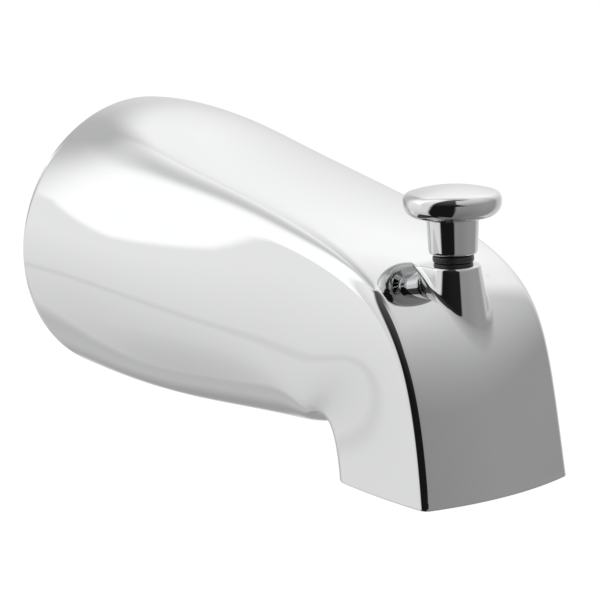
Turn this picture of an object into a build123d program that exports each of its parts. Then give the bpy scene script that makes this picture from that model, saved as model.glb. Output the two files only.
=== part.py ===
from build123d import *
import os
from math import atan2, cos, hypot, pi, radians, sin, sqrt, tan
from typing import NamedTuple

# Bath spout with a pull-up diverter. A chrome-plated zinc casting slips over a copper supply pipe that
# comes out of the wall along the X axis. The wall's plane is x = 0, +X is out of the wall and +Z is up.
# Lifting the knob draws a gate over the port at the end of the inlet tube and sends the water up to
# the shower. All sizes are millimetres.

# Supply pipe and the fits around it
pipe_diameter = 15.875
pipe_clearance = 0.115
close_gap = 0.05
running_gap = 0.05
seal_gap = 0.1

# Outer skin: the control sections that its shape is blended from, wall end first
wall_diameter = 70.0
casting_wall = 2.5
loft_sections = 25
bow_slack = 0.2
least_corner = 0.8


class Station(NamedTuple):
    """A control section: x and z of its top and bottom middles, half its width, its sides' bow radii
    and the radii of its upper and lower corners."""
    top: tuple
    bottom: tuple
    half_width: float
    side_radius: float
    top_radius: float
    bottom_radius: float
    shoulder: float
    chine: float


wall_radius = wall_diameter / 2
wall_bow = wall_radius + bow_slack
wall_corner = wall_radius - bow_slack / 2
wall_end = Station(
    (0, wall_radius), (0, -wall_radius), wall_radius, wall_bow, wall_bow, wall_bow, wall_corner, wall_corner
)
collar = Station((16.5, 37.25), (21.5, -35.25), 35.5, 36.5, 37.5, 38.0, 27.75, 29.5)
waist = Station((44.0, 30.5), (45.5, -33.25), 30.5, 51.0, 59.0, 36.0, 15.25, 30.0)
brow = Station((73.75, 26.25), (85.0, -28.25), 24.25, 73.0, 75.0, 36.0, 8.5, 23.75)
nose_bend = Station((124.5, 15.75), (91.75, -26.0), 24.5, 90.0, 360.0, 62.0, 3.0, 4.75)
nose_front = Station((132.75, -5.5), (100.0, -17.0), 21.0, 120.0, 79.0, 90.0, 2.2, 3.0)
outlet = Station((138.5, -32.0), (104.75, -33.25), 22.0, 150.0, 77.0, 340.0, 2.2, 3.75)
stations = [wall_end, collar, waist, brow, nose_bend, nose_front, outlet]

# Inlet tube, its sleeve and the sleeve's seals
tube_setback = 1.5
tube_wall = 2.6
sleeve_wall = 3.0
sleeve_length = 58.0
waterway_diameter = 13.0
web_thickness = 3.0
pipe_ring_section = 1.9
pipe_ring_first = 36.0
pipe_ring_pitch = 9.0
sleeve_ring_section = 1.3
sleeve_ring_place = 26.0
snap_ring_thickness = 1.2
snap_ring_depth = 0.8
snap_ring_width = 2.2
snap_ring_opening = 40.0

# Set screw under the wall end
screw_place = 15.0
screw_diameter = 5.0
screw_length = 10.0
screw_edge = 0.5
screw_socket = 2.5
screw_socket_depth = 3.0
screw_tip_gap = 0.25
screw_boss_diameter = 12.0
key_hole_diameter = 6.8

# Stem boss on the nose: where the stem meets the boss's flat top, and how far the stem leans back
stem_foot_x = 118.5
stem_foot_z = 15.75
stem_lean = 5.0
boss_radius = 5.9
boss_draft = 9.0
boss_depth = 14.0
boss_reach_back = 12.0

# Stem, bushing, stem seal and the wiper in the boss's top
rod_diameter = 4.8
rod_spigot_diameter = 3.9
rod_in_knob = 8.4
bushing_diameter = 8.4
bushing_top = 2.0
bushing_length = 11.0
bushing_boss_wall = 1.8
stem_seal_section = 1.3
stem_seal_place = 6.0
wiper_diameter = 8.6
wiper_depth = 1.0
wiper_proud = 0.55
wiper_edge = 0.25

# Knob and the rubber ring under it
bumper_width = 2.1
bumper_height = 1.7
bumper_edge = 0.6
knob_rest_gap = 0.05
neck_bottom_diameter = 10.65
neck_top_diameter = 11.6
neck_height = 8.05
neck_edge = 0.95
disc_diameter = 21.6
disc_rim_height = 4.95
disc_underside_rise = 0.3
disc_lower_edge = 3.3
disc_upper_edge = 2.0
dome_height = 1.8

# Gate, its seal, its rails and the seat wall
lift = 15.0
seat_setback = 11.2
seat_wall = 3.5
seat_floor = 2.2
gate_thickness = 1.6
gate_half_width = 10.5
gate_seal_diameter = 17.2
gate_seal_thickness = 2.4
gate_seal_stud_diameter = 4.0
stud_head_root = 1.15
stud_head_tip = 0.8
gate_margin = 0.6
gate_tab_reach = 5.5
gate_tab_half_width = 5.5
gate_tab_drop = 1.2
rail_gap = 0.15
rail_wall = 2.5
rail_lip = 1.6
rail_top = 8.0
washer_diameter = 8.4
washer_thickness = 0.8
nut_across_flats = 7.0
nut_thickness = 3.0
spigot_end = 0.6

# Groove width as a multiple of the rubber ring's section
groove_share = 1.3

# Values that follow from those above
base_up = (Align.CENTER, Align.CENTER, Align.MIN)
top_down = (Align.CENTER, Align.CENTER, Align.MAX)
pipe_bore = pipe_diameter / 2 + pipe_clearance
sleeve_radius = pipe_bore + sleeve_wall
tube_bore = sleeve_radius + close_gap
tube_radius = tube_bore + tube_wall
sleeve_mouth = tube_setback + 2 * snap_ring_thickness + close_gap
sleeve_end = sleeve_mouth + sleeve_length
pipe_ring_outer = sleeve_mouth + pipe_ring_first
pipe_ring_inner = pipe_ring_outer + pipe_ring_pitch
sleeve_ring_spot = sleeve_mouth + sleeve_ring_place
sleeve_ring_seat = sleeve_radius - sleeve_ring_section + close_gap / 2
waterway = waterway_diameter / 2
rod_radius = rod_diameter / 2
stem_frame = Location((stem_foot_x, 0, stem_foot_z), (0, -stem_lean, 0))
lean = radians(stem_lean)
# Height of the port's middle along the stem, where the X axis meets the seat's face
port_height = -(stem_foot_z - seat_setback * sin(lean)) / cos(lean)
bumper_bottom = wiper_proud + knob_rest_gap
neck_bottom = bumper_bottom + bumper_height + close_gap
gate_back = -seat_setback + seal_gap + gate_seal_thickness
gate_front = gate_back + gate_thickness
seal_height = port_height - lift
gate_top = seal_height + gate_seal_diameter / 2 + gate_margin
tab_bottom = seal_height - gate_seal_diameter / 2 - gate_margin - gate_tab_drop
tab_top = tab_bottom + gate_thickness
spigot_bottom = tab_bottom - washer_thickness - nut_thickness - spigot_end
seat_bottom = tab_bottom - gate_margin


def basis(index, degree, t, knots):
    """Cox and de Boor's weight of one control section at t."""
    if degree == 0:
        return 1.0 if knots[index] <= t < knots[index + 1] else 0.0
    weight = 0.0
    rise = knots[index + degree] - knots[index]
    fall = knots[index + degree + 1] - knots[index + 1]
    if rise > 0:
        weight += (t - knots[index]) / rise * basis(index, degree - 1, t, knots)
    if fall > 0:
        weight += (knots[index + degree + 1] - t) / fall * basis(index + 1, degree - 1, t, knots)
    return weight


def blended(t):
    """The section at t, from 0 at the wall to 1 at the outlet: a cubic blend of the stations, with the
    bows blended as curvatures."""
    spans = len(stations) - 3
    knots = [0.0] * 3 + [i / spans for i in range(spans + 1)] + [1.0] * 3
    t = min(t, 1 - 1e-9)
    weights = [basis(i, 3, t, knots) for i in range(len(stations))]

    def mix(value):
        return sum(w * value(s) for w, s in zip(weights, stations))

    return Station(
        (mix(lambda s: s.top[0]), mix(lambda s: s.top[1])),
        (mix(lambda s: s.bottom[0]), mix(lambda s: s.bottom[1])),
        mix(lambda s: s.half_width),
        1 / mix(lambda s: 1 / s.side_radius),
        1 / mix(lambda s: 1 / s.top_radius),
        1 / mix(lambda s: 1 / s.bottom_radius),
        mix(lambda s: s.shoulder),
        mix(lambda s: s.chine),
    )


def corner_of(width, height, side_radius, cap_radius, corner):
    """One quarter of a section, from the middle of its side to the middle of its top or bottom: the
    centre of its corner arc, and the angles at which the side and cap arcs meet that arc."""
    side_centre = width - side_radius
    cap_centre = height - cap_radius
    to_side = side_radius - corner
    to_cap = cap_radius - corner
    apart = hypot(side_centre, cap_centre)
    along = (to_side**2 - to_cap**2 + apart**2) / (2 * apart)
    across = sqrt(max(to_side**2 - along**2, 0))
    ahead = (-side_centre / apart, cap_centre / apart)
    centre = (
        side_centre + along * ahead[0] - across * ahead[1],
        along * ahead[1] + across * ahead[0],
    )
    if centre[0] + centre[1] < 0:
        centre = (
            side_centre + along * ahead[0] + across * ahead[1],
            along * ahead[1] - across * ahead[0],
        )
    side_angle = atan2(centre[1], centre[0] - side_centre)
    cap_angle = atan2(centre[1] - cap_centre, centre[0])
    return centre, side_angle, cap_angle


def section(t, inset):
    """The closed section at t as a face of eight arcs, four bowed sides and four corners, with each
    side moved in by the inset."""
    s = blended(t)
    rise = (s.top[0] - s.bottom[0], s.top[1] - s.bottom[1])
    length = hypot(*rise)
    up = Vector(rise[0] / length, 0, rise[1] / length)
    middle = Vector((s.top[0] + s.bottom[0]) / 2, 0, (s.top[1] + s.bottom[1]) / 2)
    width = s.half_width - inset
    height = length / 2 - inset
    most = min(width, height)
    side_radius = max(s.side_radius - inset, height + bow_slack)
    top_radius = max(s.top_radius - inset, width + bow_slack)
    bottom_radius = max(s.bottom_radius - inset, width + bow_slack)
    shoulder = min(max(s.shoulder - inset, least_corner), most - bow_slack / 2)
    chine = min(max(s.chine - inset, least_corner), most - bow_slack / 2)
    high, high_side, high_cap = corner_of(width, height, side_radius, top_radius, shoulder)
    low, low_side, low_cap = corner_of(width, height, side_radius, bottom_radius, chine)

    def arc(centre, radius, start, end):
        def point(turn):
            across = centre[0] + radius * cos(turn)
            return middle + Vector(0, across, 0) + up * (centre[1] + radius * sin(turn))

        return ThreePointArc(point(start), point((start + end) / 2), point(end))

    side = width - side_radius
    return Face(Wire([
        arc((side, 0), side_radius, -low_side, high_side),
        arc(high, shoulder, high_side, high_cap),
        arc((0, height - top_radius), top_radius, high_cap, pi - high_cap),
        arc((-high[0], high[1]), shoulder, pi - high_cap, pi - high_side),
        arc((-side, 0), side_radius, pi - high_side, pi + low_side),
        arc((-low[0], -low[1]), chine, pi + low_side, pi + low_cap),
        arc((0, bottom_radius - height), bottom_radius, pi + low_cap, 2 * pi - low_cap),
        arc((low[0], -low[1]), chine, 2 * pi - low_cap, 2 * pi - low_side),
    ]))


def skin_solid(inset):
    """The solid inside the skin, from the wall to the outlet, with every section moved in by the inset."""
    return loft([section(i / (loft_sections - 1), inset) for i in range(loft_sections)])


def along_x(start, end, radius):
    """A round bar on the X axis."""
    return Pos(start, 0, 0) * Rot(0, 90, 0) * Cylinder(radius, end - start, align=base_up)


def along_stem(bottom, top, radius):
    """A round bar on the stem's axis, with heights measured from the boss's flat top."""
    bar = Cylinder(radius, top - bottom, align=base_up)
    return stem_frame * Pos(0, 0, bottom) * bar


def stem_block(u, v, w):
    """A block in the stem's frame: u is forward, v is across and w is up, each a low and a high value."""
    size = (u[1] - u[0], v[1] - v[0], w[1] - w[0])
    middle = ((u[0] + u[1]) / 2, (v[0] + v[1]) / 2, (w[0] + w[1]) / 2)
    return stem_frame * Pos(*middle) * Box(*size)


def ring_on_x(place, inner_radius, cord):
    """A rubber ring around the X axis."""
    return Pos(place, 0, 0) * Rot(0, 90, 0) * Torus(inner_radius + cord / 2, cord / 2)


def ring_on_stem(height, inner_radius, cord):
    """A rubber ring around the stem's axis."""
    return stem_frame * Pos(0, 0, height) * Torus(inner_radius + cord / 2, cord / 2)


def boss_outline(radius, height):
    """The boss's outline at a height: round in front of the stem, straight-sided behind it."""
    outline = Circle(radius) + Pos(-boss_reach_back / 2, 0) * Rectangle(boss_reach_back, 2 * radius)
    return Pos(0, 0, height) * outline


def make_spout_body():
    """The casting: shell, stem boss, inlet tube on its web, seat wall, gate rails and screw boss."""
    outer = skin_solid(0)
    inner = skin_solid(casting_wall)
    flare = boss_depth * tan(radians(boss_draft))
    boss = stem_frame * loft([boss_outline(boss_radius, 0), boss_outline(boss_radius + flare, -boss_depth)])
    boss = boss - inner
    shell = outer - inner
    bushing_bottom = -bushing_top - bushing_length
    gland = along_stem(bushing_bottom, 0, bushing_diameter / 2 + bushing_boss_wall)
    far = wall_diameter
    seat_back = -seat_setback - seat_wall
    seat = stem_block((seat_back, -seat_setback), (-far, far), (seat_bottom, far))
    floor = stem_block((-far, -seat_setback), (-far, far), (seat_bottom - seat_floor, seat_bottom))
    floor &= Pos(stem_foot_x, 0, 0) * Box(2 * seat_setback + far, 2 * far, 2 * far)
    seat_end = stem_foot_x + (stem_foot_z - seat_setback * sin(lean)) * tan(lean) - seat_setback * cos(lean)
    tube = along_x(tube_setback, seat_end, tube_radius)
    web = Pos((seat_end + tube_setback) / 2, 0, 0) * Box(seat_end - tube_setback, web_thickness, 2 * far)
    screw_boss = Pos(screw_place, 0, -wall_radius / 2) * Cylinder(screw_boss_diameter / 2, wall_radius)
    behind_seat = stem_block((-2 * far, -seat_setback), (-far, far), (seat_bottom - seat_floor, 2 * far))
    inside = gland + seat + floor + ((tube + web + screw_boss) & behind_seat)
    for hand in (-1, 1):
        edge = gate_half_width + rail_gap
        body_span = sorted((hand * edge, hand * (edge + rail_wall)))
        lip_span = sorted((hand * (edge - rail_lip), hand * (edge + rail_wall)))
        lip_back = gate_front + rail_gap
        heights = (seat_bottom - seat_floor, -rail_top)
        inside += stem_block((-seat_setback, lip_back + rail_wall), body_span, heights)
        inside += stem_block((lip_back, lip_back + rail_wall), lip_span, heights)
    body = shell + boss + (inside & outer)
    body -= along_x(-far, sleeve_end, tube_bore)
    body -= along_x(sleeve_end, stem_foot_x - rod_diameter, waterway)
    groove_radius = tube_bore + snap_ring_depth
    body -= along_x(sleeve_mouth - snap_ring_thickness - 2 * close_gap, sleeve_mouth, groove_radius)
    body -= along_stem(-far / 2, 1, rod_radius + 2 * running_gap)
    body -= along_stem(-wiper_depth - close_gap, 1, wiper_diameter / 2 + close_gap)
    body -= along_stem(bushing_bottom - 1, -bushing_top, bushing_diameter / 2)
    screw_top = -pipe_bore - screw_tip_gap
    thread = Cylinder(screw_diameter / 2 + close_gap, screw_length, align=top_down)
    key_hole = Cylinder(key_hole_diameter / 2, far, align=top_down)
    body -= Pos(screw_place, 0, screw_top + 1) * thread
    body -= Pos(screw_place, 0, screw_top + 1 - screw_length) * key_hole
    return body


def make_inlet_sleeve():
    """Brass sleeve: a bore for the pipe with two ring grooves inside and one outside."""
    sleeve = along_x(sleeve_mouth, sleeve_end, sleeve_radius)
    sleeve -= along_x(sleeve_mouth - 1, sleeve_end + 1, pipe_bore)
    groove_half = groove_share * pipe_ring_section / 2
    groove_radius = pipe_bore + pipe_ring_section + 2 * close_gap
    for place in (pipe_ring_outer, pipe_ring_inner):
        sleeve -= along_x(place - groove_half, place + groove_half, groove_radius)
    outer_half = groove_share * sleeve_ring_section / 2
    outside = along_x(sleeve_ring_spot - outer_half, sleeve_ring_spot + outer_half, 2 * sleeve_radius)
    sleeve -= outside - along_x(sleeve_mouth, sleeve_end, sleeve_radius - sleeve_ring_section)
    hole = Cylinder(screw_diameter / 2 + 2 * close_gap, sleeve_radius, align=top_down)
    return sleeve - Pos(screw_place, 0, -pipe_bore / 2) * hole


def make_sleeve_snap_ring():
    """Spring ring in the tube's groove, open at the top."""
    start = sleeve_mouth - close_gap - snap_ring_thickness
    outer = tube_bore + snap_ring_depth - close_gap
    ring = along_x(start, start + snap_ring_thickness, outer)
    ring -= along_x(start - 1, start + snap_ring_thickness + 1, outer - snap_ring_width)
    gap_width = 2 * outer * sin(radians(snap_ring_opening / 2))
    opening = Box(4 * snap_ring_thickness, gap_width, 2 * snap_ring_width + outer / 2)
    return ring - Pos(start, 0, outer) * opening


def make_set_screw():
    """Hex-socket set screw with its flat tip just clear of the pipe."""
    tip = -pipe_bore - screw_tip_gap
    screw = Cylinder(screw_diameter / 2, screw_length, align=top_down)
    screw = chamfer(screw.edges().filter_by(GeomType.CIRCLE), screw_edge)
    socket = extrude(RegularPolygon(screw_socket / 2, 6, major_radius=False), screw_socket_depth)
    return Pos(screw_place, 0, tip) * (screw - Pos(0, 0, -screw_length) * socket)


def make_stem_bushing():
    """Brass bushing pressed up into the boss, with a groove for the stem seal."""
    bottom = -bushing_top - bushing_length
    bushing = along_stem(bottom, -bushing_top, bushing_diameter / 2)
    bushing -= along_stem(2 * bottom, 0, rod_radius + running_gap)
    groove_half = groove_share * stem_seal_section / 2
    middle = -bushing_top - stem_seal_place
    groove_radius = rod_radius + seal_gap + stem_seal_section + close_gap
    return bushing - along_stem(middle - groove_half, middle + groove_half, groove_radius)


def make_stem_wiper():
    """Rubber wiper set into the boss's top and standing a little proud of it."""
    height = wiper_depth + wiper_proud
    wiper = Cylinder(wiper_diameter / 2, height, align=base_up)
    wiper = fillet(wiper.edges().group_by(Axis.Z)[-1], wiper_edge)
    wiper -= Cylinder(rod_radius + seal_gap, height, align=base_up)
    return stem_frame * Pos(0, 0, -wiper_depth) * wiper


def make_lift_rod():
    """Stem: a plain bar that ends below in a spigot for the gate, washer and nut."""
    rod = along_stem(tab_top, neck_bottom + rod_in_knob, rod_radius)
    return rod + along_stem(spigot_bottom, tab_top, rod_spigot_diameter / 2)


def make_lift_knob():
    """Mushroom knob turned as one piece: tapered neck, disc with a rounded rim and a domed top."""
    neck_top = neck_bottom + neck_height
    rim_bottom = neck_top + disc_underside_rise
    rim_top = rim_bottom + disc_rim_height
    neck_low = neck_bottom_diameter / 2
    neck_high = neck_top_diameter / 2
    rim = disc_diameter / 2
    crown = rim_top + dome_height
    half_chord = rim
    dome_radius = (half_chord**2 + dome_height**2) / (2 * dome_height)
    on_dome = (half_chord / 2, crown - dome_radius + sqrt(dome_radius**2 - half_chord**2 / 4))
    outline = [
        Line((0, neck_bottom), (neck_low, neck_bottom)),
        Line((neck_low, neck_bottom), (neck_high, neck_top)),
        Line((neck_high, neck_top), (rim, rim_bottom)),
        Line((rim, rim_bottom), (rim, rim_top)),
        ThreePointArc((rim, rim_top), on_dome, (0, crown)),
        Line((0, crown), (0, neck_bottom)),
    ]
    profile = make_face(outline)

    def corner(across, up):
        return min(profile.vertices(), key=lambda v: (v.X - across) ** 2 + (v.Y - up) ** 2)

    profile = fillet(corner(neck_low, neck_bottom), neck_edge)
    profile = fillet(corner(rim, rim_bottom), disc_lower_edge)
    profile = fillet(corner(rim, rim_top), disc_upper_edge)
    knob = revolve(Plane.XZ * profile, Axis.Z)
    bore_depth = rod_in_knob + close_gap
    bore = Cylinder(rod_radius + close_gap / 2, bore_depth, align=base_up)
    return stem_frame * (knob - Pos(0, 0, neck_bottom) * bore)


def make_bumper_ring():
    """Rubber ring under the neck, oblong in section."""
    middle = rod_radius + close_gap + bumper_width / 2
    cut = Pos(middle, 0) * RectangleRounded(bumper_width, bumper_height, bumper_edge)
    ring = revolve(Plane.XZ * cut, Axis.Z)
    return stem_frame * Pos(0, 0, bumper_bottom + bumper_height / 2) * ring


def facing_port(start, bar):
    """A bar turned to point forward at the middle of the gate's seal."""
    return stem_frame * Pos(start, 0, seal_height) * Rot(0, 90, 0) * bar


def make_gate():
    """Bent plate: the upright slides in the rails, and the tab below it is clamped on the stem's end."""
    across = (-gate_half_width, gate_half_width)
    tab_across = (-gate_tab_half_width, gate_tab_half_width)
    gate = stem_block((gate_back, gate_front), across, (tab_bottom, gate_top))
    gate += stem_block((gate_back, gate_tab_reach), tab_across, (tab_bottom, tab_top))
    stud_hole = Cylinder(gate_seal_stud_diameter / 2 + close_gap, gate_thickness + 2, align=base_up)
    gate -= facing_port(gate_back - 1, stud_hole)
    return gate - along_stem(2 * tab_bottom, 0, rod_spigot_diameter / 2 + close_gap)


def make_gate_seal():
    """Rubber disc with a stud that snaps through the gate's hole."""
    stud_radius = gate_seal_stud_diameter / 2
    disc = Cylinder(gate_seal_diameter / 2, gate_seal_thickness, align=base_up)
    stud = Cylinder(stud_radius, gate_thickness + close_gap, align=base_up)
    head = Cone(stud_head_root * stud_radius, stud_head_tip * stud_radius, gate_thickness, align=base_up)
    seal = facing_port(gate_back - gate_seal_thickness, disc) + facing_port(gate_back, stud)
    return seal + facing_port(gate_front + close_gap, head)


def make_rod_washer():
    """Flat washer under the gate's tab."""
    washer = along_stem(tab_bottom - washer_thickness, tab_bottom, washer_diameter / 2)
    return washer - along_stem(2 * tab_bottom, 0, rod_spigot_diameter / 2 + close_gap)


def make_rod_nut():
    """Hex nut on the stem's end."""
    bottom = tab_bottom - washer_thickness - nut_thickness
    nut = extrude(RegularPolygon(nut_across_flats / 2, 6, major_radius=False), nut_thickness)
    nut = stem_frame * Pos(0, 0, bottom) * nut
    return nut - along_stem(2 * bottom, 0, rod_spigot_diameter / 2 + close_gap / 2)


pieces = {
    "spout_body": make_spout_body(),
    "inlet_sleeve": make_inlet_sleeve(),
    "inlet_o_ring_outer": ring_on_x(pipe_ring_outer, pipe_bore + close_gap, pipe_ring_section),
    "inlet_o_ring_inner": ring_on_x(pipe_ring_inner, pipe_bore + close_gap, pipe_ring_section),
    "sleeve_o_ring": ring_on_x(sleeve_ring_spot, sleeve_ring_seat, sleeve_ring_section),
    "sleeve_snap_ring": make_sleeve_snap_ring(),
    "set_screw": make_set_screw(),
    "stem_bushing": make_stem_bushing(),
    "stem_seal": ring_on_stem(-bushing_top - stem_seal_place, rod_radius + seal_gap, stem_seal_section),
    "stem_wiper": make_stem_wiper(),
    "lift_rod": make_lift_rod(),
    "lift_knob": make_lift_knob(),
    "bumper_ring": make_bumper_ring(),
    "gate": make_gate(),
    "gate_seal": make_gate_seal(),
    "rod_washer": make_rod_washer(),
    "rod_nut": make_rod_nut(),
}

os.makedirs("parts", exist_ok=True)
for name, piece in pieces.items():
    export_step(piece, os.path.join("parts", name + ".step"))
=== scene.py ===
from math import atan2, cos, hypot, pi, radians, sin, sqrt

import bmesh
import bpy
from mathutils import Matrix, Vector
from mathutils.bvhtree import BVHTree
from mathutils.interpolate import poly_3d_calc

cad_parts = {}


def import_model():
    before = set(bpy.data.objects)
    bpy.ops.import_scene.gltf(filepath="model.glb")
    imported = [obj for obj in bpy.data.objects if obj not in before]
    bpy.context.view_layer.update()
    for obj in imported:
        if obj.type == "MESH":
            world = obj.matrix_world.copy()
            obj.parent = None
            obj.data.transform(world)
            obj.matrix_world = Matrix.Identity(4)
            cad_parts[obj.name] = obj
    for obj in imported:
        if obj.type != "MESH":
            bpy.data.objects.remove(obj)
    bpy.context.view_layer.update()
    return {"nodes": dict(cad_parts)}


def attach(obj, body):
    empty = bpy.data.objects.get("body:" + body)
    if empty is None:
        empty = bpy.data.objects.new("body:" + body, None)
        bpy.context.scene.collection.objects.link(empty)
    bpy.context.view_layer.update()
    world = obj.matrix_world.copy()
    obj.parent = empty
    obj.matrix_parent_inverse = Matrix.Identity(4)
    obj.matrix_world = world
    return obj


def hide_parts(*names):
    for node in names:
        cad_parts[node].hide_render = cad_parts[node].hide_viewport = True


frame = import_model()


# The casting is one piece of zinc alloy, plated and polished outside and bare inside. Its outside is a
# smooth blend of seven sections, from the round wall end to the squared outlet, at the solid part's sizes.

mm = 0.001
wall_radius = 35.0
wall_thickness = 2.5
bow_slack = 0.2
least_corner = 0.8
# One row per section: the x and z of its top and bottom, half its width, the bow radii of its sides, top
# and bottom, and the radii of its upper and lower corners.
stations = [
    (0.0, 35.0, 0.0, -35.0, 35.0, 35.2, 35.2, 35.2, 34.9, 34.9),
    (16.5, 37.25, 21.5, -35.25, 35.5, 36.5, 37.5, 38.0, 27.75, 29.5),
    (44.0, 30.5, 45.5, -33.25, 30.5, 51.0, 59.0, 36.0, 15.25, 30.0),
    (73.75, 26.25, 85.0, -28.25, 24.25, 73.0, 75.0, 36.0, 8.5, 23.75),
    (124.5, 15.75, 91.75, -26.0, 24.5, 90.0, 360.0, 62.0, 3.0, 4.75),
    (132.75, -5.5, 100.0, -17.0, 21.0, 120.0, 79.0, 90.0, 2.2, 3.0),
    (138.5, -32.0, 104.75, -33.25, 22.0, 150.0, 77.0, 340.0, 2.2, 3.75),
]
bow_columns = (5, 6, 7)
degree = 3
spans = len(stations) - degree
side_points, corner_points, top_points, bottom_points = 22, 16, 40, 22
ring_count = 240
rim_round, rim_steps = 0.4, 6


def basis(index, degree, t, knots):
    """Weight of one section at t in a B-spline of the degree."""
    if degree == 0:
        return 1.0 if knots[index] <= t < knots[index + 1] else 0.0
    weight = 0.0
    rise = knots[index + degree] - knots[index]
    fall = knots[index + degree + 1] - knots[index + 1]
    if rise > 0:
        weight += (t - knots[index]) / rise * basis(index, degree - 1, t, knots)
    if fall > 0:
        weight += (knots[index + degree + 1] - t) / fall * basis(index + 1, degree - 1, t, knots)
    return weight


def blended(t):
    """A section's values at t, from 0 at the wall to 1 at the outlet. Bow radii blend as curvatures."""
    knots = [0.0] * degree + [i / spans for i in range(spans + 1)] + [1.0] * degree
    weights = [basis(i, degree, min(t, 1 - 1e-9), knots) for i in range(len(stations))]
    values = []
    for k in range(len(stations[0])):
        if k in bow_columns:
            values.append(1 / sum(w / s[k] for w, s in zip(weights, stations)))
        else:
            values.append(sum(w * s[k] for w, s in zip(weights, stations)))
    return values


def corner_of(width, height, side_radius, cap_radius, corner):
    """Centre of the corner that touches a side's bow and a cap's bow, and the angles at which it does."""
    side_centre = width - side_radius
    cap_centre = height - cap_radius
    to_side = side_radius - corner
    to_cap = cap_radius - corner
    apart = hypot(side_centre, cap_centre)
    along = (to_side**2 - to_cap**2 + apart**2) / (2 * apart)
    across = sqrt(max(to_side**2 - along**2, 0))
    ahead = (-side_centre / apart, cap_centre / apart)
    centre = (side_centre + along * ahead[0] - across * ahead[1], along * ahead[1] + across * ahead[0])
    if centre[0] + centre[1] < 0:
        centre = (side_centre + along * ahead[0] + across * ahead[1], along * ahead[1] - across * ahead[0])
    return centre, atan2(centre[1], centre[0] - side_centre), atan2(centre[1] - cap_centre, centre[0])


def section_ring(t, inset=0.0, shift=0.0):
    """One closed ring of points around the casting at t, moved in by the inset and along by the shift."""
    xt, zt, xb, zb, half_width, side_bow, top_bow, bottom_bow, shoulder, chine = blended(t)
    length = hypot(xt - xb, zt - zb)
    up = Vector(((xt - xb) / length, 0, (zt - zb) / length))
    onward = Vector((up.z, 0, -up.x))
    middle = Vector(((xt + xb) / 2, 0, (zt + zb) / 2)) + onward * shift
    width = half_width - inset
    height = length / 2 - inset
    most = min(width, height) - bow_slack / 2
    side_radius = max(side_bow - inset, height + bow_slack)
    top_radius = max(top_bow - inset, width + bow_slack)
    bottom_radius = max(bottom_bow - inset, width + bow_slack)
    shoulder = min(max(shoulder - inset, least_corner), most)
    chine = min(max(chine - inset, least_corner), most)
    high, high_side, high_cap = corner_of(width, height, side_radius, top_radius, shoulder)
    low, low_side, low_cap = corner_of(width, height, side_radius, bottom_radius, chine)
    side = width - side_radius
    arcs = [
        ((side, 0), side_radius, -low_side, high_side, side_points),
        (high, shoulder, high_side, high_cap, corner_points),
        ((0, height - top_radius), top_radius, high_cap, pi - high_cap, top_points),
        ((-high[0], high[1]), shoulder, pi - high_cap, pi - high_side, corner_points),
        ((-side, 0), side_radius, pi - high_side, pi + low_side, side_points),
        ((-low[0], -low[1]), chine, pi + low_side, pi + low_cap, corner_points),
        ((0, bottom_radius - height), bottom_radius, pi + low_cap, 2 * pi - low_cap, bottom_points),
        ((low[0], -low[1]), chine, 2 * pi - low_cap, 2 * pi - low_side, corner_points),
    ]
    points = []
    for centre, radius, start, end, count in arcs:
        for i in range(count):
            a = start + (end - start) * i / count
            across = Vector((0, centre[0] + radius * cos(a), 0))
            points.append(middle + across + up * (centre[1] + radius * sin(a)))
    return points


def rings_to_mesh(rings):
    """Vertices and outward quads of a tube through rings of equal length."""
    around = len(rings[0])
    vertices = [p for ring in rings for p in ring]
    quads = []
    for i in range(len(rings) - 1):
        for j in range(around):
            k = (j + 1) % around
            quads.append((i * around + j, i * around + k, (i + 1) * around + k, (i + 1) * around + j))
    return vertices, quads


# How far t runs per millimetre at each end, where the sections lie closest, to round the two rims
end_speed = degree * spans
wall_step = 1 / (end_speed * hypot(stations[1][0], stations[1][1] - stations[0][1]))
outlet_step = 1 / (end_speed * hypot(stations[-1][2] - stations[-2][2], stations[-1][3] - stations[-2][3]))
first_t = rim_round * wall_step
last_t = 1 - rim_round * outlet_step
turns = [i * pi / 2 / rim_steps for i in range(1, rim_steps + 1)]
rings = [section_ring(0, wall_thickness, 0.0)]
rings += [section_ring(0, rim_round * (1 - cos(a)), rim_round * (1 - sin(a))) for a in reversed(turns)]
rings += [section_ring(first_t + (last_t - first_t) * i / (ring_count - 1)) for i in range(ring_count)]
rings += [section_ring(1, rim_round * (1 - cos(a)), -rim_round * (1 - sin(a))) for a in turns]
rings += [section_ring(1, wall_thickness)]
skin_points, skin_quads = rings_to_mesh(rings)
skin_tree = BVHTree.FromPolygons(skin_points, skin_quads)
skin_sheet = bpy.data.meshes.new("skin_sheet")
skin_sheet.from_pydata(skin_points, [], skin_quads)
skin_normals = [n.vector.copy() for n in skin_sheet.vertex_normals]
bpy.data.meshes.remove(skin_sheet)


def normal_on_skin(spot, quad):
    """The polished surface's own direction at a spot on one of its quads."""
    corners = skin_quads[quad]
    weights = poly_3d_calc([skin_points[i] for i in corners], spot)
    return sum((skin_normals[i] * w for i, w in zip(corners, weights)), Vector()).normalized()


# The stem boss stands on the nose: a flat-topped pad, round in front and running back into the skin, with
# drafted sides and a small fillet around its foot. Its patch of skin is made as rings around the pad.

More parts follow.
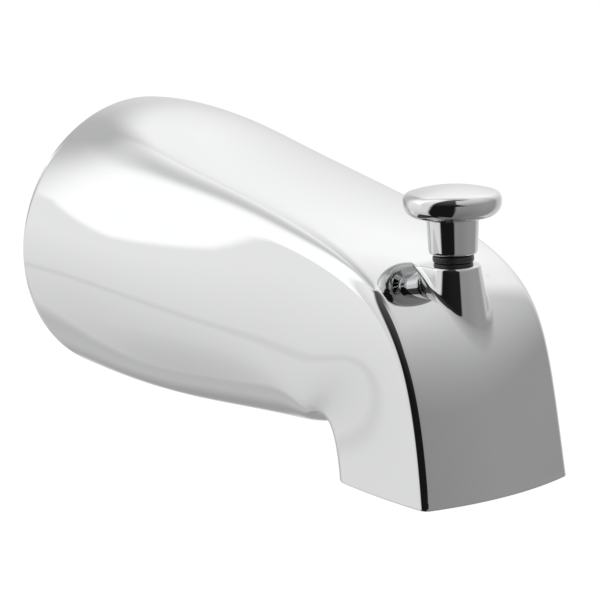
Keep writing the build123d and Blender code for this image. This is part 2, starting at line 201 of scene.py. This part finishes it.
stem_lean = radians(5.0)
stem_foot = Vector((118.5, 0.0, 15.75))
stem_up = Vector((-sin(stem_lean), 0, cos(stem_lean)))
stem_ahead = Vector((cos(stem_lean), 0, sin(stem_lean)))
stem_turn = Matrix.Translation(stem_foot * mm) @ Matrix.Rotation(-stem_lean, 4, "Y") @ Matrix.Scale(mm, 4)
boss_radius = 5.9
boss_draft = radians(9.0)
boss_reach_back = 12.0
boss_edge = 0.4
boss_fillet = 0.8
wiper_hole, wiper_depth = 4.35, 1.05
patch_reach, patch_gap = 4.5, 0.35
round_count, straight_count, wiper_points = 64, 48, 96
pad_line = []
for i in range(round_count):
    a = -pi / 2 + pi * i / round_count
    pad_line.append((boss_radius * cos(a), boss_radius * sin(a), cos(a), sin(a)))
for i in range(straight_count):
    pad_line.append((-boss_reach_back * i / straight_count, boss_radius, 0, 1))
for i in range(round_count):
    a = pi / 2 + pi * i / round_count
    pad_line.append((-boss_reach_back + boss_radius * cos(a), boss_radius * sin(a), cos(a), sin(a)))
for i in range(straight_count):
    pad_line.append((-boss_reach_back + boss_reach_back * i / straight_count, -boss_radius, 0, -1))
# Offsets of the patch's rings from the pad's outline, close together over its edge and fillet
fine_start, fine_end, fine_step = -0.65, 2.85, 0.05
offsets = [-boss_radius + (boss_radius + fine_start) * i / 16 for i in range(16)]
offsets += [fine_start + fine_step * i for i in range(70)]
offsets += [fine_end + (patch_reach - fine_end) * i / 8 for i in range(9)]


def boss_height(offset, skin, slope):
    """Height of the finished surface over one spot: the pad and the skin joined by a rounded fillet."""
    def outside(w):
        to_side = (offset + w * sin(boss_draft) / cos(boss_draft)) * cos(boss_draft) + boss_edge
        to_top = w + boss_edge
        pad = hypot(max(to_side, 0), max(to_top, 0)) + min(max(to_side, to_top), 0) - boss_edge
        sheet = (w - skin) * slope
        if pad < boss_fillet and sheet < boss_fillet:
            return boss_fillet - hypot(boss_fillet - pad, boss_fillet - sheet)
        return min(pad, sheet)

    low, high = skin - 0.5, max(skin, 0) + 2
    for _ in range(40):
        mid = (low + high) / 2
        if outside(mid) > 0:
            high = mid
        else:
            low = mid
    return (low + high) / 2


body = bmesh.new()
facing = {}
skin_verts = [body.verts.new(p) for p in skin_points]
facing.update(zip(skin_verts, skin_normals))
for quad in skin_quads:
    body.faces.new([skin_verts[i] for i in quad])
patch_verts = []
for offset in offsets:
    ring = []
    for u, v, nu, nv in pad_line:
        spot = stem_foot + stem_ahead * (u + nu * offset) + Vector((0, v + nv * offset, 0))
        hit, normal, quad, _ = skin_tree.ray_cast(spot + stem_up * 20, -stem_up)
        skin = (hit - stem_foot).dot(stem_up)
        rise = boss_height(offset, skin, abs(normal.dot(stem_up)))
        vert = body.verts.new(spot + stem_up * rise)
        if rise < skin + 0.001:
            facing[vert] = normal_on_skin(hit, quad)
        ring.append(vert)
    patch_verts.append(ring)


def in_stem_frame(point):
    """A point's place ahead of the stem, to its left, and up along it."""
    away = point - stem_foot
    return away.dot(stem_ahead), away.y, away.dot(stem_up)


def pad_distance(point):
    """Distance from the pad's outline, seen along the stem."""
    u, v, _ = in_stem_frame(point)
    return hypot(u - min(max(u, -boss_reach_back), 0), v) - boss_radius


def stem_distance(point):
    u, v, _ = in_stem_frame(point)
    return hypot(u, v)


def fill_between(edges, normal):
    """Closes the band between two loops of edges."""
    made = bmesh.ops.triangle_fill(body, edges=edges, use_beauty=True, normal=normal)["geom"]
    for face in made:
        if isinstance(face, bmesh.types.BMFace):
            face.normal_update()
            if face.normal.dot(normal) < 0:
                face.normal_flip()


body.normal_update()
around_boss = [f for f in body.faces if f.normal.dot(stem_up) > 0.1
               and pad_distance(f.calc_center_median()) < patch_reach + patch_gap]
bmesh.ops.delete(body, geom=around_boss, context="FACES")
count = len(pad_line)
for inner, outer in zip(patch_verts, patch_verts[1:]):
    for j in range(count):
        k = (j + 1) % count
        body.faces.new((inner[j], outer[j], outer[k], inner[k]))
rim = [e for e in body.edges if e.is_boundary and -0.5 < pad_distance(e.verts[0].co) < patch_reach + 3
       and e.verts[0].co.z > -25 and e.verts[0].co.x > 80]
fill_between(rim, stem_up)
over_stem = [f for f in body.faces if stem_distance(f.calc_center_median()) < wiper_hole + 0.3
             and abs(in_stem_frame(f.calc_center_median())[2]) < 0.3]
bmesh.ops.delete(body, geom=over_stem, context="FACES")
hole_rings = []
for radius, w in ((wiper_hole, -wiper_depth), (wiper_hole, -0.08), (wiper_hole + 0.08, 0.0)):
    ring = []
    for i in range(wiper_points):
        a = 2 * pi * i / wiper_points
        spot = stem_foot + stem_ahead * radius * cos(a) + Vector((0, radius * sin(a), 0)) + stem_up * w
        ring.append(body.verts.new(spot))
    hole_rings.append(ring)
for inner, outer in zip(hole_rings, hole_rings[1:]):
    for j in range(wiper_points):
        k = (j + 1) % wiper_points
        body.faces.new((inner[j], outer[j], outer[k], inner[k]))
facing.update((vert, stem_up) for vert in hole_rings[-1])
rim = [e for e in body.edges if e.is_boundary and stem_distance(e.verts[0].co) < wiper_hole + 1.2
       and abs(in_stem_frame(e.verts[0].co)[2]) < 0.05]
fill_between(rim, stem_up)
loose = [v for v in body.verts if not v.link_faces]
bmesh.ops.delete(body, geom=loose, context="VERTS")


# A round hole under the wall end lets a hex key reach the set screw. It goes straight up through the wall,
# and its edge is slightly eased.

key_hole_x, key_hole_radius, key_hole_ease = 15.0, 3.4, 0.25
key_hole_points = 48


def from_key_hole(point):
    return hypot(point.x - key_hole_x, point.y)


under_hole = [f for f in body.faces if f.calc_center_median().z < -20
              and from_key_hole(f.calc_center_median()) < key_hole_radius + 0.9]
bmesh.ops.delete(body, geom=under_hole, context="FACES")
hole_rings = []
hole_steps = ((0.0, 2.0), (0.0, 0.25), (0.07, 0.07), (key_hole_ease, 0.0), (key_hole_ease + 0.2, 0.0))
for grow, rise in hole_steps:
    ring = []
    for i in range(key_hole_points):
        a = 2 * pi * i / key_hole_points
        radius = key_hole_radius + grow
        spot = Vector((key_hole_x + radius * cos(a), radius * sin(a), -60))
        hit, _, quad, _ = skin_tree.ray_cast(spot, Vector((0, 0, 1)))
        vert = body.verts.new(hit + Vector((0, 0, rise)))
        if rise == 0:
            facing[vert] = normal_on_skin(hit, quad)
        ring.append(vert)
    hole_rings.append(ring)
for inner, outer in zip(hole_rings, hole_rings[1:]):
    for j in range(key_hole_points):
        k = (j + 1) % key_hole_points
        body.faces.new((inner[j], inner[k], outer[k], outer[j]))
rim = [e for e in body.edges if e.is_boundary and e.verts[0].co.z < -20
       and key_hole_radius + key_hole_ease + 0.1 < from_key_hole(e.verts[0].co) < key_hole_radius + 4]
fill_between(rim, Vector((0, 0, -1)))
loose = [v for v in body.verts if not v.link_faces]
bmesh.ops.delete(body, geom=loose, context="VERTS")
body.normal_update()
shell_normals = [facing.get(vert, vert.normal).copy() for vert in body.verts]
body.transform(Matrix.Scale(mm, 4))
shell_mesh = bpy.data.meshes.new("spout_shell")
body.to_mesh(shell_mesh)
body.free()
spout_shell = bpy.data.objects.new("spout_shell", shell_mesh)
bpy.context.collection.objects.link(spout_shell)
for polygon in shell_mesh.polygons:
    polygon.use_smooth = True
shell_mesh.normals_split_custom_set_from_vertices(shell_normals)


def node_material(name, **sockets):
    """A new surface material with its plain values set on the shader's own sockets."""
    material = bpy.data.materials.new(name)
    material.use_nodes = True
    shader = material.node_tree.nodes["Principled BSDF"]
    for socket, value in sockets.items():
        shader.inputs[socket.replace("_", " ")].default_value = value
    return material, material.node_tree, shader


def grain(tree, scale, detail, low, high, socket, stretch=(1, 1, 1)):
    """Fine noise on Object coordinates, spread from low to high, fed to one socket."""
    place = tree.nodes.new("ShaderNodeTexCoord")
    drawn = tree.nodes.new("ShaderNodeMapping")
    drawn.inputs["Scale"].default_value = stretch
    noise = tree.nodes.new("ShaderNodeTexNoise")
    noise.inputs["Scale"].default_value = scale
    noise.inputs["Detail"].default_value = detail
    spread = tree.nodes.new("ShaderNodeMapRange")
    spread.inputs["From Min"].default_value = 0.3
    spread.inputs["From Max"].default_value = 0.7
    spread.inputs["To Min"].default_value = low
    spread.inputs["To Max"].default_value = high
    tree.links.new(place.outputs["Object"], drawn.inputs["Vector"])
    tree.links.new(drawn.outputs["Vector"], noise.inputs["Vector"])
    tree.links.new(noise.outputs["Fac"], spread.inputs["Value"])
    tree.links.new(spread.outputs["Result"], socket)
    return noise


chrome, tree, shader = node_material("polished_chrome", Base_Color=(0.68, 0.682, 0.686, 1), Metallic=1.0)
grain(tree, 60.0, 3.0, 0.02, 0.045, shader.inputs["Roughness"])
shell_mesh.materials.append(chrome)
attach(spout_shell, "spout")
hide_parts("spout_body")


# Inside, the casting is bare: the inlet tube on its web, the seat wall, the gate's rails and the screw
# boss. They are the solid part's own faces, without those that the polished outside covers, and a smooth
# lining takes the place of the first stretch of the wall behind the rim.

skin_margin = 0.3
rim_depth = 3.0
stem_clear = 2.6
lining_depth, lining_lap, lining_gap, lining_steps = 9.0, 1.0, 0.02, 12
lined_radius, web_clear = 30.3, 10.0
inside_mesh = frame["nodes"]["spout_body"].data.copy()
inside_mesh.name = "casting_inside"
cast = bmesh.new()
cast.from_mesh(inside_mesh)
bmesh.ops.remove_doubles(cast, verts=cast.verts, dist=1e-6)
covered = []
for face in cast.faces:
    centre = face.calc_center_median() / mm
    hit, normal, _, distance = skin_tree.find_nearest(centre)
    from_stem = (centre - stem_foot).cross(stem_up).length
    from_axis = hypot(centre.y, centre.z)
    reach = wall_thickness - skin_margin if centre.x > rim_depth else skin_margin
    plated = distance < reach and face.normal.dot(normal) > 0.3
    proud = (centre - hit).dot(normal) > 0.05 and from_stem > stem_clear
    in_rim = centre.x < rim_depth and from_axis > wall_radius - wall_thickness + 0.25 + 0.1 * centre.x
    lined = centre.x < lining_depth - lining_lap and from_axis > lined_radius and abs(centre.y) > web_clear
    if plated or proud or in_rim or lined:
        covered.append(face)
bmesh.ops.delete(cast, geom=covered, context="FACES")
lining = []
for i in range(lining_steps, -1, -1):
    lining.append(section_ring(lining_depth * wall_step * i / lining_steps, wall_thickness + lining_gap))
lining_points, lining_quads = rings_to_mesh(lining)
lining_verts = [cast.verts.new(p * mm) for p in lining_points]
for quad in lining_quads:
    cast.faces.new([lining_verts[i] for i in quad]).smooth = True
cast.to_mesh(inside_mesh)
cast.free()
casting_inside = bpy.data.objects.new("casting_inside", inside_mesh)
bpy.context.collection.objects.link(casting_inside)
zinc, tree, shader = node_material("bare_zinc", Base_Color=(0.56, 0.57, 0.58, 1), Metallic=0.55)


def roughen(tree, shader, noise, strength):
    """Lets the same noise stand up from the surface a little."""
    bump = tree.nodes.new("ShaderNodeBump")
    bump.inputs["Strength"].default_value = strength
    bump.inputs["Distance"].default_value = 0.0001
    tree.links.new(noise.outputs["Fac"], bump.inputs["Height"])
    tree.links.new(bump.outputs["Normal"], shader.inputs["Normal"])


noise = grain(tree, 900.0, 4.0, 0.38, 0.55, shader.inputs["Roughness"])
roughen(tree, shader, noise, 0.25)
inside_mesh.materials.clear()
inside_mesh.materials.append(zinc)
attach(casting_inside, "spout")
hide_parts("spout_body")


# Machined brass: the inlet sleeve in the tube, and the bushing and stem in the boss, with the lathe's fine
# rings around them, and the gate, cut from sheet and bent.


def dress(names, material):
    """Gives CAD nodes one finish."""
    for name in names:
        node = frame["nodes"][name]
        node.data.materials.clear()
        node.data.materials.append(material)


def machined_brass(name, marks):
    """Brass with fine marks, close together along the long side of the stretch."""
    material, tree, shader = node_material(name, Base_Color=(0.80, 0.60, 0.30, 1), Metallic=1.0)
    noise = grain(tree, 700.0, 3.0, 0.20, 0.38, shader.inputs["Roughness"], marks)
    roughen(tree, shader, noise, 0.08)
    return material


dress(["inlet_sleeve"], machined_brass("turned_brass_sleeve", (8.0, 0.15, 0.15)))
dress(["stem_bushing", "lift_rod"], machined_brass("turned_brass_stem", (0.15, 0.15, 8.0)))
dress(["gate"], machined_brass("sheet_brass", (1.0, 6.0, 1.0)))


# Black rubber: the rings that seal the pipe, the sleeve and the stem, the gate's disc, and the ring under
# the knob, which shows. Moulded rubber is near black, with a soft shine.

rubber, tree, shader = node_material("black_rubber", Base_Color=(0.012, 0.012, 0.013, 1))
noise = grain(tree, 1500.0, 3.0, 0.28, 0.42, shader.inputs["Roughness"])
roughen(tree, shader, noise, 0.12)
dress(["inlet_o_ring_outer", "inlet_o_ring_inner", "sleeve_o_ring", "stem_seal", "stem_wiper", "gate_seal",
       "bumper_ring"], rubber)


# Plain steel: the snap ring that holds the sleeve, the set screw that grips the pipe, and the washer and
# nut that hold the gate on the stem.

steel, tree, shader = node_material("plain_steel", Base_Color=(0.52, 0.53, 0.54, 1), Metallic=1.0)
noise = grain(tree, 800.0, 3.0, 0.25, 0.4, shader.inputs["Roughness"])
roughen(tree, shader, noise, 0.1)
dress(["sleeve_snap_ring", "set_screw", "rod_washer", "rod_nut"], steel)


# The knob is turned from brass and chrome-plated: a tapered neck and a disc with a rounded rim and a
# domed top. Its profile is drawn from the neck's foot to the top and spun around the stem.

neck_bottom = 2.35
neck_low, neck_high, neck_height, neck_edge, neck_blend = 5.325, 5.8, 8.05, 0.95, 0.5
disc_radius, rim_height, underside_rise, dome_height = 10.8, 4.95, 0.3, 1.8
disc_lower_edge, disc_upper_edge = 3.3, 2.0
stem_bore = 2.425
edge_steps, dome_steps, spin_steps = 16, 32, 160


def eased(profile, where, radius, steps=8):
    """Replaces one corner of a profile by an arc of the radius."""
    before, corner, after = (Vector(profile[where + d]) for d in (-1, 0, 1))
    back, ahead = (before - corner).normalized(), (after - corner).normalized()
    half = back.angle(ahead) / 2
    reach = radius / (sin(half) / cos(half))
    centre = corner + (back + ahead).normalized() * (radius / sin(half))
    start, end = corner + back * reach - centre, corner + ahead * reach - centre
    turn = start.angle_signed(end)
    arc = []
    for i in range(steps + 1):
        a = -turn * i / steps
        turned = Vector((start.x * cos(a) - start.y * sin(a), start.x * sin(a) + start.y * cos(a)))
        arc.append(tuple(centre + turned))
    return profile[:where] + arc + profile[where + 1:]


neck_top = neck_bottom + neck_height
rim_bottom = neck_top + underside_rise
rim_top = rim_bottom + rim_height
dome_radius = (disc_radius**2 + dome_height**2) / (2 * dome_height)
# The rim's upper corner runs into the dome where a circle inside both touches them
inner_circle = dome_radius - disc_upper_edge
circle_across = disc_radius - disc_upper_edge
dome_middle = rim_top + dome_height - dome_radius
circle_up = dome_middle + sqrt(inner_circle**2 - circle_across**2)
touch = atan2(circle_up - dome_middle, circle_across)
profile = [(stem_bore, neck_bottom), (neck_low, neck_bottom)]
profile += [(neck_high, neck_top), (disc_radius, rim_bottom)]
for i in range(edge_steps + 1):
    a = touch * i / edge_steps
    profile.append((circle_across + disc_upper_edge * cos(a), circle_up + disc_upper_edge * sin(a)))
for i in range(1, dome_steps + 1):
    a = touch + (pi / 2 - touch) * i / dome_steps
    profile.append((dome_radius * cos(a), dome_middle + dome_radius * sin(a)))
profile = eased(profile, 3, disc_lower_edge, 20)
profile = eased(profile, 2, neck_blend)
profile = eased(profile, 1, neck_edge)
bpy.ops.object.select_all(action="DESELECT")
knob_mesh = bpy.data.meshes.new("lift_knob_turned")
knob_mesh.from_pydata([(r, 0, w) for r, w in profile], [(i, i + 1) for i in range(len(profile) - 1)], [])
lift_knob = bpy.data.objects.new("lift_knob_turned", knob_mesh)
bpy.context.collection.objects.link(lift_knob)
bpy.context.view_layer.objects.active = lift_knob
lift_knob.select_set(True)
bpy.ops.object.mode_set(mode="EDIT")
bpy.ops.mesh.select_all(action="SELECT")
bpy.ops.mesh.spin(steps=spin_steps, angle=2 * pi, center=(0, 0, 0), axis=(0, 0, 1))
bpy.ops.mesh.select_all(action="SELECT")
bpy.ops.mesh.remove_doubles(threshold=0.002)
bpy.ops.mesh.normals_make_consistent(inside=False)
bpy.ops.object.mode_set(mode="OBJECT")
knob_mesh.transform(stem_turn)
bpy.ops.object.shade_smooth_by_angle(angle=radians(40))
knob_mesh.materials.append(chrome)
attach(lift_knob, "diverter")
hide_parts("lift_knob")


# A plain pale floor well below the spout, and a broad soft light from above the camera. What the camera
# sees of the floor is lifted to white, and the spout's soft shadow stays on it.

floor_size, floor_drop, floor_lift = 6.0, 0.25, 0.03
light_spread, light_strength = radians(70), 0.7


def wire(node, socket, value):
    """Sets a node's input to a number or links it to another node's output."""
    if isinstance(value, (int, float)):
        node.inputs[socket].default_value = value
    else:
        tree.links.new(value, node.inputs[socket])


def reckon(operation, *values):
    """A Math node on numbers or other nodes' outputs, in the tree at hand."""
    node = tree.nodes.new("ShaderNodeMath")
    node.operation = operation
    for socket, value in enumerate(values):
        wire(node, socket, value)
    return node.outputs[0]


bpy.ops.object.select_all(action="DESELECT")
bpy.ops.mesh.primitive_plane_add(size=floor_size, location=(0.065, 0, -floor_drop))
floor = bpy.context.object
floor.name = "floor"
pale, tree, shader = node_material("pale_floor", Base_Color=(0.93, 0.93, 0.93, 1), Roughness=0.9)
shader.inputs["Specular IOR Level"].default_value = 0.0
shader.inputs["Emission Color"].default_value = (1, 1, 1, 1)
seen = tree.nodes.new("ShaderNodeLightPath")
lift = reckon("MULTIPLY", seen.outputs["Is Camera Ray"], floor_lift)
tree.links.new(lift, shader.inputs["Emission Strength"])
floor.data.materials.append(pale)
floor.visible_glossy = False
lamp_data = bpy.data.lights.new("top_light", "SUN")
lamp_data.angle = light_spread
lamp_data.energy = light_strength
lamp = bpy.data.objects.new("top_light", lamp_data)
lamp.location = (0.0, -0.3, 1.1)
lamp.rotation_euler = (Vector((0.065, 0, 0)) - lamp.location).to_track_quat("-Z", "Y").to_euler()
lamp.visible_glossy = False
bpy.context.collection.objects.link(lamp)


# The studio around it is a white tent, which metal mirrors: a pale table below, a grey panel on the right,
# greyer cloth behind and to the left, a seam overhead, and a tall dark gap where the camera looks in.

world = bpy.data.worlds.new("studio")
bpy.context.scene.world = world
world.use_nodes = True
tree = world.node_tree
tree.nodes.clear()


def ramp(value, low, high, to_low, to_high, kind="LINEAR"):
    """The value, spread from low and high to two other numbers and held at them outside."""
    node = tree.nodes.new("ShaderNodeMapRange")
    node.interpolation_type = kind
    sockets = ("Value", "From Min", "From Max", "To Min", "To Max")
    for socket, number in zip(sockets, (value, low, high, to_low, to_high)):
        wire(node, socket, number)
    return node.outputs["Result"]


def after(value, low, high):
    """0 below low, 1 above high, eased between."""
    return ramp(value, low, high, 0.0, 1.0, "SMOOTHSTEP")


def before(value, low, high):
    """1 below low, 0 above high, eased between."""
    return ramp(value, low, high, 1.0, 0.0, "SMOOTHSTEP")


def toward(value, target, *masks):
    """The value, carried to the target where all the masks are 1."""
    mask = masks[0]
    for other in masks[1:]:
        mask = reckon("MULTIPLY", mask, other)
    node = tree.nodes.new("ShaderNodeMix")
    node.data_type = "FLOAT"
    wire(node, "Factor", mask)
    wire(node, "A", value)
    wire(node, "B", target)
    return node.outputs["Result"]


tent_level = 1.37
# Bearings are degrees from the nose towards the spout's left, and heights are degrees over the horizon
gaze = tree.nodes.new("ShaderNodeTexCoord")
parts = tree.nodes.new("ShaderNodeSeparateXYZ")
tree.links.new(gaze.outputs["Generated"], parts.inputs[0])
bearing = reckon("MULTIPLY", reckon("ARCTAN2", parts.outputs["Y"], parts.outputs["X"]), 180 / pi)
height = reckon("MULTIPLY", reckon("ARCSINE", parts.outputs["Z"]), 180 / pi)
# White cloth, dimmer overhead, behind on the left and on both sides
tent = ramp(height, 66, 84, 1.07, 0.55)
far_cloth = reckon("MINIMUM", ramp(height, 48, 80, 1.0, 0.5), ramp(height, -4, 40, 0.60, 1.0))
far_cloth = reckon("MULTIPLY", far_cloth, ramp(bearing, 128, 148, 1.0, 0.93))
tent = toward(tent, far_cloth, after(bearing, 80, 100))
tent = toward(tent, ramp(height, 10, 60, 0.70, 0.86), after(bearing, -123, -116), before(bearing, -60, -40))
tent = toward(tent, ramp(height, 6, 38, 0.52, 0.90), after(bearing, 62, 86), before(bearing, 96, 116))
# Greyer cloth straight behind, with a slanted upper edge, and a fold above it
from_back = reckon("WRAP", reckon("SUBTRACT", bearing, 176.0), 180.0, -180.0)
back_edge = reckon("SUBTRACT", height, reckon("MULTIPLY", reckon("MINIMUM", from_back, 0.0), 0.75))
tent = toward(tent, 0.47, before(reckon("ABSOLUTE", from_back), 6, 44), before(back_edge, 36, 54))
tent = toward(tent, 0.60, after(bearing, -188, -156), before(bearing, -154, -139), after(height, 33, 48))
# The pale table with a seam across it, painted darker towards straight below as the spout's shadow on it,
# and the spout's own shade on its far part
table = reckon("ADD", ramp(height, -60, -34, 0.44, 0.63), ramp(height, -36, 0, 0.0, 0.19))
table = toward(table, 0.65, after(height, -21.5, -19.5), before(height, -19.5, -17.5))
table_edge = reckon("SUBTRACT", height, ramp(bearing, -146, -126, 9.5, 2))
table_sides = reckon("ADD", before(bearing, 60, 80), after(bearing, 128, 146))
tent = toward(tent, reckon("MINIMUM", tent, table), before(table_edge, 2, 5), table_sides)
tent = toward(tent, 0.30, after(bearing, 112, 128), before(bearing, 150, 172), before(height, -30, -20))
# The grey panel on the right, and the seam overhead
panel = reckon("ADD", ramp(height, -60, 0, 0.18, 0.27), ramp(height, 10, 50, 0.0, 0.33))
panel = reckon("ADD", panel, ramp(bearing, 0, 40, -0.015, 0.03))
panel = reckon("ADD", panel, reckon("MULTIPLY", ramp(bearing, 30, 70, 0.0, 0.05), after(height, 8, 28)))
tent = toward(tent, panel, after(bearing, -40, -34), before(bearing, 74, 92))
tent = toward(tent, 0.10, after(height, 66, 84), after(bearing, -112, -92), before(bearing, 70, 100))
# The dark gap for the camera, wider on the right above the table
gap_right = reckon("MULTIPLY", ramp(height, 4, 29, 24, 0), after(height, 1.5, 4))
gap_right = reckon("SUBTRACT", bearing, reckon("SUBTRACT", gap_right, 33.0))
gap_left = reckon("SUBTRACT", bearing, reckon("MULTIPLY", reckon("MINIMUM", height, 0.0), 0.35))
tent = toward(tent, ramp(height, 8, 76, 0.008, 0.08), before(gap_right, -4, 3), after(gap_left, -96, -86))
path = tree.nodes.new("ShaderNodeLightPath")
light = toward(0.85, reckon("MULTIPLY", tent, tent_level), path.outputs["Is Glossy Ray"])
seen_straight = reckon("MAXIMUM", path.outputs["Is Camera Ray"], path.outputs["Is Transmission Ray"])
light = toward(light, 1.0, seen_straight)
sky = tree.nodes.new("ShaderNodeBackground")
sky.inputs["Color"].default_value = (1, 1, 1, 1)
tree.links.new(light, sky.inputs["Strength"])
out = tree.nodes.new("ShaderNodeOutputWorld")
tree.links.new(sky.outputs[0], out.inputs["Surface"])


# The camera looks down on the nose from the front left, from a little over half a metre. Its aim and focal
# length are in pixels of a square picture.

picture, sensor = 600, 36.0
turn, tilt, roll = radians(39.067), radians(14.593), radians(1.244)
distance, focal = 581.342, 2468.589
aim_column, aim_row = 298.235, 284.343
back = Vector((cos(turn) * cos(tilt), -sin(turn) * cos(tilt), sin(tilt)))
right = Vector((sin(turn), cos(turn), 0))
up = back.cross(right)
right, up = right * cos(roll) + up * sin(roll), up * cos(roll) - right * sin(roll)
eye = Vector((65, 0, 0)) + back * distance
eye += (up * (aim_row - picture / 2) - right * (aim_column - picture / 2)) * distance / focal
camera_data = bpy.data.cameras.new("camera")
camera_data.sensor_width = sensor
camera_data.lens = sensor * focal / picture
camera_data.clip_start = 0.01
camera = bpy.data.objects.new("camera", camera_data)
camera.matrix_world = Matrix((
    (right.x, up.x, back.x, eye.x * mm),
    (right.y, up.y, back.y, eye.y * mm),
    (right.z, up.z, back.z, eye.z * mm),
    (0, 0, 0, 1),
))
bpy.context.collection.objects.link(camera)
bpy.context.scene.camera = camera
bpy.context.scene.view_settings.view_transform = "Standard"
